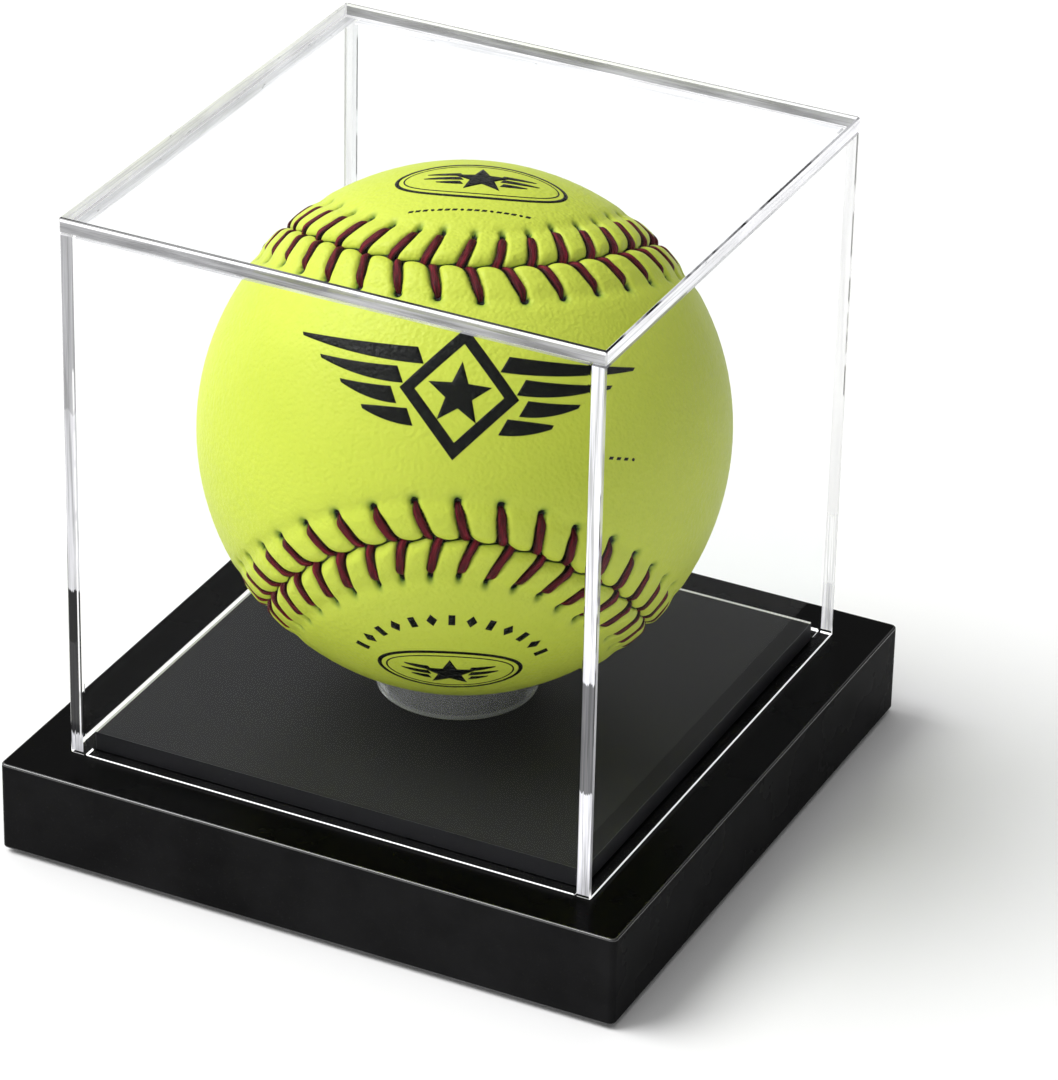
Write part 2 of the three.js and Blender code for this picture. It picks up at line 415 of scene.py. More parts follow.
def yellow_leather():
    """Optic yellow-green leather, greener where the holes pinched it, and painted near black as painted shade in
    the seam's valley and in the holes.
    """
    s = Shader("yellow_leather")
    drift = s.remap(s.noise(16, 3.0), 0.3, 0.7, 0.0, 1.0)
    mottle = s.remap(s.noise(650, 4.0, 0.65), 0.3, 0.72, 0.0, 1.0)
    colour = s.mix(drift, (0.59, 0.685, 0.062, 1), (0.655, 0.735, 0.085, 1))
    colour = s.mix(s.math("MULTIPLY", mottle, 0.2), colour, (0.44, 0.58, 0.04, 1))
    pinch_and_painted_shade = s.attribute("pinch_and_painted_shade")
    colour = s.mix(s.remap(pinch_and_painted_shade, 0.0, 0.5, 0.0, 1.0), colour, (0.16, 0.28, 0.035, 1))
    colour = s.mix(s.remap(pinch_and_painted_shade, 0.5, 0.85, 0.0, 1.0), colour, (0.004, 0.005, 0.003, 1))
    s.set(
        Base_Color=colour,
        Roughness=s.remap(s.noise(900, 3.0), 0.3, 0.7, 0.42, 0.56),
        Specular_IOR_Level=0.24,
    )
    s.bump(*leather_grain(s, 1.0))
    return s.material


def ink():
    """Black print that the leather's grain shows through."""
    s = Shader("print_ink")
    flecks = s.remap(s.noise(1900, 3.0, 0.6), 0.62, 0.7, 0.0, 1.0)
    s.set(
        Base_Color=s.mix(s.math("MULTIPLY", flecks, 0.6), (0.003, 0.0035, 0.003, 1), (0.09, 0.11, 0.05, 1)),
        Roughness=s.remap(s.noise(1200, 2.0), 0.3, 0.7, 0.36, 0.5),
        Specular_IOR_Level=0.14,
    )
    s.bump(*leather_grain(s, 1.2))
    return s.material


def thread():
    """Waxed dark red thread: plies run along each leg, with paler rubbed fibres, and its flanks painted dark as
    painted shade in the slot.
    """
    s = Shader("red_thread")
    fibres = s.noise(1.0, 4.0, 0.6, coords=s.stretched(2.0, 26.0), distortion=0.4)
    rubbed = s.remap(fibres, 0.47, 0.62, 0.0, 1.0)
    from_crown = s.math("ABSOLUTE", s.math("SUBTRACT", s.part(s.uv, "Y"), 0.25))
    painted_flank_shade = s.remap(from_crown, 0.09, 0.23, 0.0, 1.0)
    crown = s.mix(rubbed, (0.05, 0.001, 0.004, 1), (0.27, 0.012, 0.028, 1))
    s.set(
        Base_Color=s.mix(painted_flank_shade, crown, (0.012, 0.0008, 0.0012, 1)),
        Roughness=s.remap(fibres, 0.3, 0.7, 0.42, 0.62),
        Specular_IOR_Level=0.14,
    )
    s.bump((fibres, 0.9, 0.0002), (s.noise(5200, 2.0), 0.3, 0.00003))
    return s.material


def core_foam():
    s = Shader("core_foam")
    s.set(
        Base_Color=s.mix(s.noise(90, 4.0), (0.60, 0.52, 0.33, 1), (0.68, 0.61, 0.42, 1)),
        Roughness=s.remap(s.noise(300, 2.0), 0.3, 0.7, 0.75, 0.9),
    )
    s.bump((s.cells(600), 0.4, 0.0001))
    return s.material


# =============================== Meshes ===============================
def make_object(name, points, faces, material, smooth=True):
    mesh = bpy.data.meshes.new(name)
    mesh.from_pydata([tuple(p) for p in points], [], [tuple(int(i) for i in f) for f in faces])
    mesh.validate()
    mesh.update()
    return finish_object(name, mesh, material, smooth)


def finish_object(name, mesh, material, smooth=True):
    mesh.materials.append(material)
    mesh.polygons.foreach_set("use_smooth", [smooth] * len(mesh.polygons))
    obj = bpy.data.objects.new(name, mesh)
    bpy.context.scene.collection.objects.link(obj)
    return obj


def stand_for(obj, body, slot, *nodes):
    """obj rides on a body in place of CAD nodes, which are hidden; slot is not used."""
    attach(obj, body)
    if nodes:
        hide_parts(*nodes)


def cube_mesh(low, high):
    bm = bmesh.new()
    bmesh.ops.create_cube(bm, size=1.0)
    bmesh.ops.scale(bm, vec=high - low, verts=bm.verts)
    bmesh.ops.translate(bm, vec=(low + high) / 2, verts=bm.verts)
    return bm


def bevel(bm, edges, radius, steps, slot=-1):
    bmesh.ops.bevel(
        bm, geom=edges, offset=radius, segments=steps, profile=0.5, affect="EDGES", material=slot
    )


def block_object(name, bm, *materials):
    """An object from bm whose broad faces stay flat in the shading."""
    mesh = bpy.data.meshes.new(name)
    bm.to_mesh(mesh)
    bm.free()
    obj = finish_object(name, mesh, materials[0])
    mesh.set_sharp_from_angle(angle=math.radians(40))
    for extra in materials[1:]:
        obj.data.materials.append(extra)
    weighted = obj.modifiers.new("weighted", "WEIGHTED_NORMAL")
    weighted.keep_sharp = True
    weighted.weight = 100
    return obj


SHARP_ANGLE = 1.2  # radians between two faces, over which an edge is a corner of the board


def board(name, low, high, corner, arris, *materials):
    """A board with rounded upright corners and finer arrises around its top and underside.

    materials: of the top and underside, of the arrises, and of the sides.
    """
    bm = cube_mesh(low, high)
    upright = [e for e in bm.edges if abs(e.verts[0].co.z - e.verts[1].co.z) > MM]
    bevel(bm, upright, corner, 8)
    level = [e for e in bm.edges if e.calc_face_angle() > SHARP_ANGLE]
    bevel(bm, level, arris, 3, slot=1)
    for face in bm.faces:
        if face.material_index == 0 and abs(face.normal.z) < 0.5:
            face.material_index = 2
    return block_object(name, bm, *materials)


LIP = 0.28 * MM
LIP_CREST = 0.06 * MM
LIPPED_CORNER = 0.4 * MM


def lipped_board(name, low, high, *materials):
    """A board cut from sheet: its cut leaves a hair-fine lip around the top, painted pale and glowing on its inner
    slope as a painted highlight.

    materials: of the board, of the lip's crest, and of its inner slope.
    """
    bm = cube_mesh(low, high)
    for v in bm.verts:
        v.co.z += LIP if v.co.z > high.z - MM else 0.0
    upright = [e for e in bm.edges if abs(e.verts[0].co.z - e.verts[1].co.z) > MM]
    bevel(bm, upright, LIPPED_CORNER, 4)
    top = max(bm.faces, key=lambda face: face.calc_center_median().z)
    for finish, thickness in ((1, LIP_CREST), (2, 0.7 * LIP)):
        made = bmesh.ops.inset_region(bm, faces=[top], thickness=thickness)
        for face in made["faces"]:
            face.material_index = finish
    for v in top.verts:
        v.co.z -= LIP
    return block_object(name, bm, *materials)


FOOT_LINE = 0.75 * MM  # height of the painted highlight line along the foot of a side wall's outer face
FRONT_FOOT_LINE = 0.5 * MM
CLEAR, SIDE, FRONT, ARRIS, BACK_END, UNDERSIDE = range(6)  # the order of a sheet's materials


def sheet_finish(face, lead, thin, standing, inward, plain_ends):
    """Which finish a face of a sheet takes. lead: the axis it looks along. thin: the sheet's own."""
    slanted = abs(face.normal[lead]) < 0.99
    if slanted or (standing and lead == thin):
        glued = plain_ends and slanted and abs(face.normal.z) < 0.1
        return CLEAR if inward or glued else ARRIS
    if standing and lead == 2:
        return UNDERSIDE
    if lead == thin or standing or (plain_ends and lead == 0):
        return CLEAR
    if lead != 1:
        return SIDE
    return BACK_END if thin == 0 and face.normal.y > 0 else FRONT


def sheet(name, low, high, arris, centre, materials, plain_ends=False):
    """A clear sheet with polished edges, whose edge faces carry UVs in millimetres along them.

    centre: of the whole cover. plain_ends: the ends along X are glued to other sheets.
    """
    bm = cube_mesh(low, high)
    bevel(bm, bm.edges[:], arris, 1)
    size = high - low
    thin = min(range(3), key=lambda axis: size[axis])
    line = FRONT_FOOT_LINE if thin == 1 else FOOT_LINE
    if thin != 2:
        parts = bm.verts[:] + bm.edges[:] + bm.faces[:]
        foot = (0, 0, low.z + line)
        bmesh.ops.bisect_plane(bm, geom=parts, dist=1e-7, plane_co=foot, plane_no=(0, 0, 1))
    uv = bm.loops.layers.uv.new("edge")
    offset = rng.uniform(0, 900)
    for face in bm.faces:
        lead = max(range(3), key=lambda axis: abs(face.normal[axis]))
        middle = face.calc_center_median()
        inward = thin != 2 and face.normal[thin] * (middle[thin] - centre[thin]) < 0
        standing = middle.z < low.z + line and thin != 2
        face.material_index = sheet_finish(face, lead, thin, standing, inward, plain_ends)
        run = (thin + 1) % 3
        if lead != thin:
            run = 3 - lead - thin
        for loop in face.loops:
            across = (loop.vert.co[thin] - low[thin]) / size[thin]
            loop[uv].uv = (loop.vert.co[run] / MM + offset + 130 * lead, across)
    return block_object(name, bm, *materials)


def lathe(name, profile, centre, steps, material):
    """A closed ring of quads: profile holds (radius, height) corners, in order."""
    count = len(profile)
    points, faces = [], []
    for i in range(steps):
        turn = 2 * math.pi * i / steps
        for radius, height in profile:
            points.append((centre.x + radius * math.cos(turn), centre.y + radius * math.sin(turn), height))
        for j in range(count):
            a, b = i * count, (i + 1) % steps * count
            k = (j + 1) % count
            faces.append((a + j, b + j, b + k, a + k))
    obj = make_object(name, points, faces, material)
    obj.data.set_sharp_from_angle(angle=math.radians(35))
    return obj


# =============================== Base ===============================
PLINTH_CORNER = 1.2 * MM
PLINTH_ARRIS = 0.4 * MM


def make_base():
    low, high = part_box("plinth")
    satin = lacquer("black_lacquer", depth=0.0013, gloss=0.024, rough=(0.22, 0.32))
    # The sides take a paler copy of the top's lacquer: painted light, so the sides read lighter than the top.
    side = lacquer("black_lacquer_side_painted_paler", depth=0.0104, gloss=0.008, rough=(0.22, 0.32), dust=2.0)
    # The arrises are paler than the faces: worn edges, and a painted highlight line along them.
    rubbed = lacquer("black_lacquer_arris_worn_and_highlight", depth=0.02, gloss=0.9, rough=(0.16, 0.24))
    plinth = board("plinth_board", low, high, PLINTH_CORNER, PLINTH_ARRIS, satin, rubbed, side)
    stand_for(plinth, "base", "black_lacquer", "plinth")

    low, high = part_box("platform")
    sheet_black = black_acrylic("black_acrylic", depth=0.016, gloss=0.13)
    # The lip's crest is paler than the sheet: a painted highlight along the cut.
    polished = black_acrylic("black_acrylic_crest_painted_highlight", depth=0.05, gloss=1.0)
    platform = lipped_board("platform_board", low, high, sheet_black, polished, cut_lip_painted_highlight())
    stand_for(platform, "base", "black_acrylic", "platform")

    rubber = pad_rubber()
    for i in range(1, 5):
        node = f"foot_pad_{i}"
        low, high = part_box(node)
        pad = ribbed_pad(f"rubber_pad_{i}", low, high, rubber)
        stand_for(pad, "base", "foot_rubber", node)


PAD_RIM = 0.3 * MM
PAD_PINHOLE = 0.02 * MM
GROOVE_DEPTH = 0.25 * MM
GROOVES = (4.6 * MM, 3.2 * MM, 1.8 * MM)  # outer radius of each
GROOVE_STEPS = (0, 0.25 * MM, 0.55 * MM, 0.8 * MM)  # inwards: its lip, its floor's ends, its lip


def ribbed_pad(name, low, high, material):
    """A round pad with a soft rim and ring grooves in its underside."""
    centre = (low + high) / 2
    radius = (high.x - low.x) / 2
    profile = [(PAD_PINHOLE, high.z), (radius - PAD_RIM, high.z), (radius, high.z - PAD_RIM)]
    profile += [(radius, low.z + PAD_RIM), (radius - PAD_RIM, low.z)]
    for outer in GROOVES:
        depths = (0, GROOVE_DEPTH, GROOVE_DEPTH, 0)
        profile += [(outer - step, low.z + depth) for step, depth in zip(GROOVE_STEPS, depths)]
    profile.append((PAD_PINHOLE, low.z))
    return lathe(name, profile, centre, 64, material)


# =============================== Cover and cradle ===============================
# Stretches of the upright edges: (height where it ends, tone, cover), from the foot up. The tones are painted
# light and painted shade.
LEFT_END = (
    (0.0236, 0.9, 0.95),
    (0.0426, 0.035, 1.0),
    (0.0536, 0.004, 1.0),
    (0.09, 0.6, 0.9),
    (0.2, 0.36, 0.88),
)
RIGHT_END = (
    (0.0408, 0.9, 0.97),
    (0.063, 0.17, 0.93),
    (0.2, 0.88, 0.95),
)
FAR_END = ((0.03, 0.85, 0.95), (0.045, 0.85, 0.5), (0.2, 0.55, 0.32))
# One long line in each, white on the left wall as a painted highlight and dark on the others: (across from, across
# to, height from, height to, tone).
LEFT_LINE = (0.68, 0.78, 0.022, 0.098, 1.0)
RIGHT_LINE = (0.84, 0.93, 0.05, 0.1, 0.02)
FAR_LINE = (0.8, 0.9, 0.07, 0.124, 0.13)
SHEET_ARRIS = 0.28 * MM


def make_cover():
    nodes = frame["record"]["behaviour"]["bodies"]["cover"]
    boxes = [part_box(node) for node in nodes]
    lowest = Vector([min(low[axis] for low, _ in boxes) for axis in range(3)])
    highest = Vector([max(high[axis] for _, high in boxes) for axis in range(3)])
    centre = (lowest + highest) / 2
    clear, arris, rim = clear_sheet(), sheet_arris(lowest, highest), foot_rim()
    # The sawn edges' tones and glowing light are painted light and shade.
    edge = sheet_edge("acrylic_edge_painted_light", solid=0.88, tones=(0.66, 0.95), painted_glow=0.2, split=0.0)
    top_side = sheet_edge("acrylic_top_side_painted_light", solid=0.88, tones=(0.62, 1.0), painted_glow=0.35, split=0.6)
    fronts = {
        "cover_top": sheet_edge("acrylic_top_front_painted_light", solid=0.94, tones=(0.12, 0.42), painted_glow=0.3, split=1.0),
        "cover_left": upright_edge("acrylic_left_end_painted_light", LEFT_END, LEFT_LINE, painted_glow=0.1),
        "cover_right": upright_edge("acrylic_right_end_painted_light", RIGHT_END, RIGHT_LINE, painted_glow=0.2),
    }
    far_post = upright_edge("acrylic_far_end_painted_light", FAR_END, FAR_LINE, painted_glow=0.6)
    for node, (low, high) in zip(nodes, boxes):
        side = top_side if node == "cover_top" else edge
        finishes = (clear, side, fronts.get(node, edge), arris, far_post, rim)
        between_walls = node in ("cover_front", "cover_back")
        panel = sheet(f"{node}_panel", low, high, SHEET_ARRIS, centre, finishes, between_walls)
        stand_for(panel, "cover", "clear_acrylic", node)


RING_WALL = 2.1 * MM
RING_ARRIS = 0.15 * MM
RING_SEAT = 0.8 * MM  # width of the slope that the ball sits on
SEAT_DROP = 0.22 * MM
RIM_WORN = 0.12 * MM  # the sawn rim, eased by hand


def make_cradle():
    hazy = ring_plastic()
    low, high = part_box("cradle_ring")
    outer = (high.x - low.x) / 2
    inner = outer - RING_WALL
    rim = high.z - RIM_WORN
    profile = [
        (inner, low.z + RING_ARRIS),
        (inner + RING_ARRIS, low.z),
        (outer - RING_ARRIS, low.z),
        (outer, low.z + RING_ARRIS),
        (outer, rim - RING_ARRIS),
        (outer - RING_ARRIS, rim),
        (inner + RING_SEAT, rim),
        (inner, rim - SEAT_DROP),
    ]
    ring = lathe("cradle_tube", profile, (low + high) / 2, 128, hazy)
    stand_for(ring, "cradle", "ring_acrylic", "cradle_ring")


# =============================== Ball ===============================
def ball_place():
    """The ball's radius in millimetres, and the matrix from its own frame to the row frame."""
    joint = next(j for j in frame["joints"] if j["name"] == "ball_roll")
    centre = Vector(joint["pos_m"])
    radius = max((v.co - centre).length for v in frame["nodes"]["leather_front"].data.vertices)
    turn = (
        Matrix.Rotation(WAIST_TURN, 4, "Z")
        @ Matrix.Rotation(-WAIST_TILT, 4, "X")
        @ Matrix.Rotation(SEAM_LEAN, 4, "Y")
    )
    return radius / MM, Matrix.Translation(centre) @ turn @ Matrix.Scale(MM, 4)


BALL_RADIUS, BALL_MATRIX = ball_place()


def place_on_ball(points):
    """Points in the ball's own frame, in millimetres, as points in the row frame."""
    m = np.array(BALL_MATRIX)
    return np.asarray(points) @ m[:3, :3].T + m[:3, 3]


def unit(vectors):
    return vectors / np.linalg.norm(vectors, axis=-1, keepdims=True)


class Seam:
    """The seam on a unit sphere at equal steps of length, from the tip of a lobe of the front panel."""

    def __init__(self, count):
        slow, fast = SEAM_SHAPE, 1 - SEAM_SHAPE
        fine = np.linspace(math.pi / 4, 2 * math.pi + math.pi / 4, 40001)
        curve = self.shape(fine, slow, fast)
        steps = np.linalg.norm(np.diff(curve, axis=0), axis=1)
        length = np.concatenate([[0], np.cumsum(steps)])
        t = np.interp(np.arange(count) / count * length[-1], length, fine)
        self.count = count
        self.length = length[-1] * BALL_RADIUS
        self.places = np.arange(count) / count * self.length
        self.points = unit(self.shape(t, slow, fast))
        ahead = np.roll(self.points, -1, axis=0) - np.roll(self.points, 1, axis=0)
        along = unit(ahead - (ahead * self.points).sum(1, keepdims=True) * self.points)
        self.across = np.cross(along, self.points)  # towards the front panel

    @staticmethod
    def shape(t, slow, fast):
        x = slow * np.cos(t) + fast * np.cos(3 * t)
        y = slow * np.sin(t) - fast * np.sin(3 * t)
        z = 2 * math.sqrt(slow * fast) * np.sin(2 * t)
        # Strands at the front panel's waist go along X, and the waist faces -Y.
        right, up = (x + y) / math.sqrt(2), (x - y) / math.sqrt(2)
        return np.stack([right, z, up], axis=-1)

    def at(self, place, distance, side):
        """Unit vectors at places along the seam and distances from it, in millimetres."""
        index = (np.asarray(place) / self.length * self.count) % self.count
        low = np.floor(index).astype(int)
        share = (index - low)[..., None]
        high = (low + 1) % self.count
        low = low % self.count
        p = unit(self.points[low] * (1 - share) + self.points[high] * share)
        n = unit(self.across[low] * (1 - share) + self.across[high] * share) * side
        sway = SEAM_WAVE * np.cos(2 * math.pi * (np.asarray(place) / self.length * STITCHES - STITCH_PHASE))
        swayed = np.asarray(distance) + side * sway * (1 - smooth_step(np.asarray(distance), 0.5, 5.0))
        angle = (swayed / BALL_RADIUS)[..., None]
        return unit(np.cos(angle) * p + np.sin(angle) * n)


SEAM = Seam(STITCHES * SAMPLES_PER_STITCH)
SPACING = SEAM.length / STITCHES


class Legs:
    """The row of thread legs on one side of the seam, each with small differences."""

    def __init__(self, side):
        self.side = side
        offset = 0 if side > 0 else -SIDE_OFFSET
        self.foot = (np.arange(STITCHES) + STITCH_PHASE) * SPACING + offset
        self.slant = STITCH_SLANT[side] + rng.normal(0, 0.16, STITCHES)
        self.hole = HOLE_DISTANCE + rng.normal(0, 0.22, STITCHES)
        self.width = 1 + rng.normal(0, 0.05, STITCHES)
        self.puff = 1 + rng.normal(0, 0.12, STITCHES)

    def path(self, leg, distance):
        """Where a leg lies along the seam, at a distance from it: steep at its foot."""
        share = np.clip(distance / self.hole[leg], 0, 1)
        return self.foot[leg] + self.slant[leg] * share**0.8


def smooth_step(x, low, high):
    t = np.clip((x - low) / (high - low), 0, 1)
    return t * t * (3 - 2 * t)


def bell(x, width):
    return np.exp(-((x / width) ** 2))


LOBE_HEIGHT = 0.26  # the leather between two legs stands up by this much
TROUGH_DEPTH = 0.24  # it dips by this much along the rows of holes
HOLE_DEPTH = 0.8
DIMPLE_DEPTH = 0.22  # just past each hole
DEEPEST = 1.45
EDGE_BLEND = 0.34  # how softly the walls of a slot and of the seam meet
FAR_AWAY = 99.0


def relief(place, distance, legs):
    """The worked leather beside the seam: its height over the ball, and a shade value that holds the green stain
    past each hole and painted shade in the seam's valley and in the holes.
    """
    nearest = np.full(distance.shape, FAR_AWAY)
    pit, dimple, stain, black, crown = (np.zeros(distance.shape) for _ in range(5))
    first = np.floor((place - legs.foot[0]) / SPACING - 0.3).astype(int)
    for step in (-1, 0, 1):
        leg = (first + step) % STITCHES
        lift = place - legs.path(leg, distance)
        lift -= np.round(lift / SEAM.length) * SEAM.length
        hole = legs.hole[leg]
        past = distance - hole
        lean = np.cos(np.arctan(legs.slant[leg] / hole))
        half = SLOT_HALF_WIDTH * legs.width[leg] * (1 - 0.42 * smooth_step(distance, 0.6 * hole, hole))
        nearest = np.minimum(nearest, np.hypot(lift * lean, np.maximum(past - 0.3, 0)) - half)
        pit = np.maximum(pit, bell(lift, 0.5) * bell(past, 0.6))
        black = np.maximum(black, bell(lift, 0.46) * bell(past - 0.05, 0.62))
        dimple = np.maximum(dimple, bell(lift, 1.2) * bell(past - 1.1, 0.9))
        stain = np.maximum(stain, bell(lift, 0.78) * bell(past - 0.85, 0.8))
        middle = lift - SPACING / 2
        across = np.clip(1 - (2 * middle / SPACING) ** 2, 0, 1)
        crown = np.maximum(crown, across * legs.puff[leg] * (np.abs(middle) < SPACING / 2))
    walls = np.minimum(np.stack([nearest / SLOT_FILLET, (distance - SEAM_HALF_GAP) / SEAM_FILLET]), 20)
    edge = -EDGE_BLEND * np.log(np.exp(-walls / EDGE_BLEND).sum(0))
    rise = np.sqrt(1 - (1 - np.clip(edge, 0, 1)) ** 2)
    worked = 1 - smooth_step(distance, HOLE_DISTANCE + 0.8, HOLE_DISTANCE + 2.4)
    height = -SLOT_DEPTH * (1 - rise) * worked
    lobe = crown * smooth_step(distance, 0.3, 2.0) * (1 - smooth_step(distance, 4.2, 7.6))
    trough = bell(distance - HOLE_DISTANCE - 0.5, 1.5) * smooth_step(distance, 4.0, 6.5)
    height += LOBE_HEIGHT * lobe - TROUGH_DEPTH * trough
    height = np.maximum(height - HOLE_DEPTH * pit - DIMPLE_DEPTH * dimple, -DEEPEST)
    # Painted shade: the seam's valley floor and the holes are painted near black; the stain past each hole is the
    # leather's own mark.
    floor = smooth_step(-height, 0.9, 1.25)
    shade = np.maximum(np.maximum(0.4 * stain, floor), black * smooth_step(distance, 5.2, 6.2))
    return height, np.clip(shade, 0, 1)


def band_steps():
    """Distances from the seam to rows of points: close together where the leather turns."""
    near = np.array([0.1, 0.2, 0.34, 0.52, 0.74, 1.0, 1.3, 1.62])
    middle = np.arange(1.96, 8.9, 0.33)
    far = np.array([9.2, 9.8, BAND_WIDTH])
    return np.concatenate([near, middle, far])


OUTER_COLUMNS = 22
INNER_COLUMNS = 6


def across_rows(side):
    """Pairs of seam samples that face each other across a panel, from tip to tip."""
    n = SEAM.count
    if side > 0:
        first = np.arange(0, n // 2 + 1)
        return first % n, (-first) % n
    first = np.arange(n // 4, 3 * n // 4 + 1)
    return first % n, (n // 2 - first) % n


def arc_points(a, b, shares):
    """Points on the great circles from a to b, for each row and each share of the way."""
    angle = np.arccos(np.clip((a * b).sum(1), -1, 1))[:, None, None]
    f = np.asarray(shares)[None, :, None]
    s = np.maximum(np.sin(angle), 1e-9)
    return unit(np.sin((1 - f) * angle) / s * a[:, None] + np.sin(f * angle) / s * b[:, None])


def grid_faces(rows, flip):
    """Quads between neighbouring rows of point numbers, without those that collapse."""
    faces = []
    for upper, lower in zip(rows[:-1], rows[1:]):
        for a, b, c, d in zip(upper[:-1], upper[1:], lower[1:], lower[:-1]):
            corners = list(dict.fromkeys((a, b, c, d)))
            if len(corners) > 2:
                faces.append(tuple(reversed(corners)) if flip else tuple(corners))
    return faces


def panel_layer(side, legs, distances, base, columns):
    """One face of a leather panel: the band beside the seam and the field within it."""
    n, width = SEAM.count, len(distances)
    place, distance = np.meshgrid(SEAM.places, distances, indexing="ij")
    directions = SEAM.at(place, distance, side)
    if legs is None:
        radii, shade = np.full(place.shape, BALL_RADIUS - INNER_DEPTH), np.zeros(place.shape)
    else:
        height, shade = relief(place, distance, legs)
        radii = BALL_RADIUS + height
    points = (directions * radii[..., None]).reshape(-1, 3)
    shades = shade.reshape(-1)

    ids = base + np.arange(n * width).reshape(n, width)
    rows = [list(r) for r in np.vstack([ids, ids[:1]])]
    faces = grid_faces(rows, side > 0)

    first, second = across_rows(side)
    inner = directions[:, -1]
    shares = np.arange(1, columns) / columns
    field = arc_points(inner[first], inner[second], shares)[1:-1]
    start = base + n * width
    field_ids = start + np.arange(field.shape[0] * field.shape[1]).reshape(field.shape[:2])
    edge_radius = radii[:, -1].mean()
    points = np.vstack([points, (field * edge_radius).reshape(-1, 3)])
    shades = np.concatenate([shades, np.zeros(field_ids.size)])
    rows = []
    for k, (a, b) in enumerate(zip(first, second)):
        ends = (ids[a, -1], ids[b, -1])
        at_tip = k in (0, len(first) - 1)
        middle = [ids[a, -1]] * (columns - 1) if at_tip else list(field_ids[k - 1])
        rows.append([ends[0], *middle, ends[1]])
    faces += grid_faces(rows, side > 0)
    return points, shades, faces, ids


def leather_panel(name, side, legs, node, material):
    """A panel as a closed shell: worked outer face, plain inner face, and a rim in the seam."""
    steps = band_steps()
    outer, outer_shades, outer_faces, outer_ids = panel_layer(side, legs, steps, 0, OUTER_COLUMNS)
    inner, inner_shades, inner_faces, inner_ids = panel_layer(
        side, None, np.array([steps[0], BAND_WIDTH]), len(outer), INNER_COLUMNS
    )
    rim = [[*ids[:, 0], ids[0, 0]] for ids in (inner_ids, outer_ids)]
    faces = outer_faces + [tuple(reversed(f)) for f in inner_faces] + grid_faces(rim, side < 0)
    points = place_on_ball(np.vstack([outer, inner]))
    obj = make_object(name, points, faces, material)
    pinch_and_painted_shade = obj.data.attributes.new("pinch_and_painted_shade", "FLOAT", "POINT")
    pinch_and_painted_shade.data.foreach_set("value", np.concatenate([outer_shades, inner_shades]).astype(np.float32))
    stand_for(obj, "ball", "yellow_leather", node)


LEG_RINGS = 18
LEG_POINTS = 16
LEG_PLIES = 3
PLY_RIPPLE = 0.1
PLY_TWIST = 2.6  # radians along a leg
LEG_REACH = 0.25  # of a leg's foot across the seam
LEG_SINK = 0.34  # of a leg's middle line under the ball's surface
LEG_ARCH = 0.12
SEAM_DIVE = 1.0
HOLE_DIVE = 1.4


def leg_surface(legs, leg, base):
    """One thread leg: it climbs out of the seam, lies in its slot and dives into its hole."""
    share = np.linspace(0, 1, LEG_RINGS)
    reach = legs.hole[leg] - 0.15
    distance = -LEG_REACH + (reach + LEG_REACH) * share
    place = legs.path(leg, np.maximum(distance, 0))
    height = LEG_ARCH * np.sin(math.pi * share) - LEG_SINK
    height -= SEAM_DIVE * bell(distance + LEG_REACH, 0.85) + HOLE_DIVE * bell(distance - reach, 0.75)
    centre = SEAM.at(place, distance, legs.side) * (BALL_RADIUS + height)[:, None]
    ahead = unit(np.gradient(centre, axis=0))
    out = unit(centre)
    across = unit(np.cross(out, ahead))
    out = np.cross(ahead, across)
    slim = (1 - 0.3 * smooth_step(share, 0.75, 1.0)) * (1 - 0.12 * (1 - smooth_step(share, 0, 0.2)))
    phase = rng.uniform(0, 2 * math.pi)
    turn = np.linspace(0, 2 * math.pi, LEG_POINTS, endpoint=False)
    angle, along = np.meshgrid(turn, share)
    ripple = 1 + PLY_RIPPLE * np.cos(LEG_PLIES * (angle + PLY_TWIST * along) + phase)
    wide = THREAD_HALF_WIDTH * legs.width[leg] * slim[:, None] * ripple * np.cos(angle)
    deep = THREAD_HALF_DEPTH * slim[:, None] * ripple * np.sin(angle)
    points = centre[:, None] + wide[..., None] * across[:, None] + deep[..., None] * out[:, None]
    ids = base + np.arange(LEG_RINGS * LEG_POINTS).reshape(LEG_RINGS, LEG_POINTS)
    rows = [list(r) + [r[0]] for r in ids]
    faces = grid_faces(rows, True)
    faces.append(tuple(ids[0]))
    faces.append(tuple(ids[-1][::-1]))
    uv = np.stack([along, angle / (2 * math.pi)], axis=-1).reshape(-1, 2)
    return points.reshape(-1, 3), faces, uv


def make_stitches(rows):
    """Every leg of both rows as one piece of thread, with UVs along and around each leg."""
    points, faces, uvs = [], [], []
    for legs in rows:
        for leg in range(STITCHES):
            base = sum(len(p) for p in points)
            p, f, uv = leg_surface(legs, leg, base)
            points.append(p)
            faces += f
            uvs.append(uv)
    obj = make_object("ball_stitches", place_on_ball(np.vstack(points)), faces, thread())
    layer = obj.data.uv_layers.new(name="thread")
    corner = np.empty(len(obj.data.loops), np.int32)
    obj.data.loops.foreach_get("vertex_index", corner)
    layer.data.foreach_set("uv", np.vstack(uvs)[corner].astype(np.float32).reshape(-1))
    stand_for(obj, "ball", "red_thread", "seam_thread")


# ---- Printed shapes ----
EMBLEM_LEAN = math.radians(-3.5)
PRINT_PROUD = 0.035  # of the print's face over the ball's surface
PRINT_STEP = 1.1
PRINT_FILM = 0.1 * MM
MOST_CUTS = 7


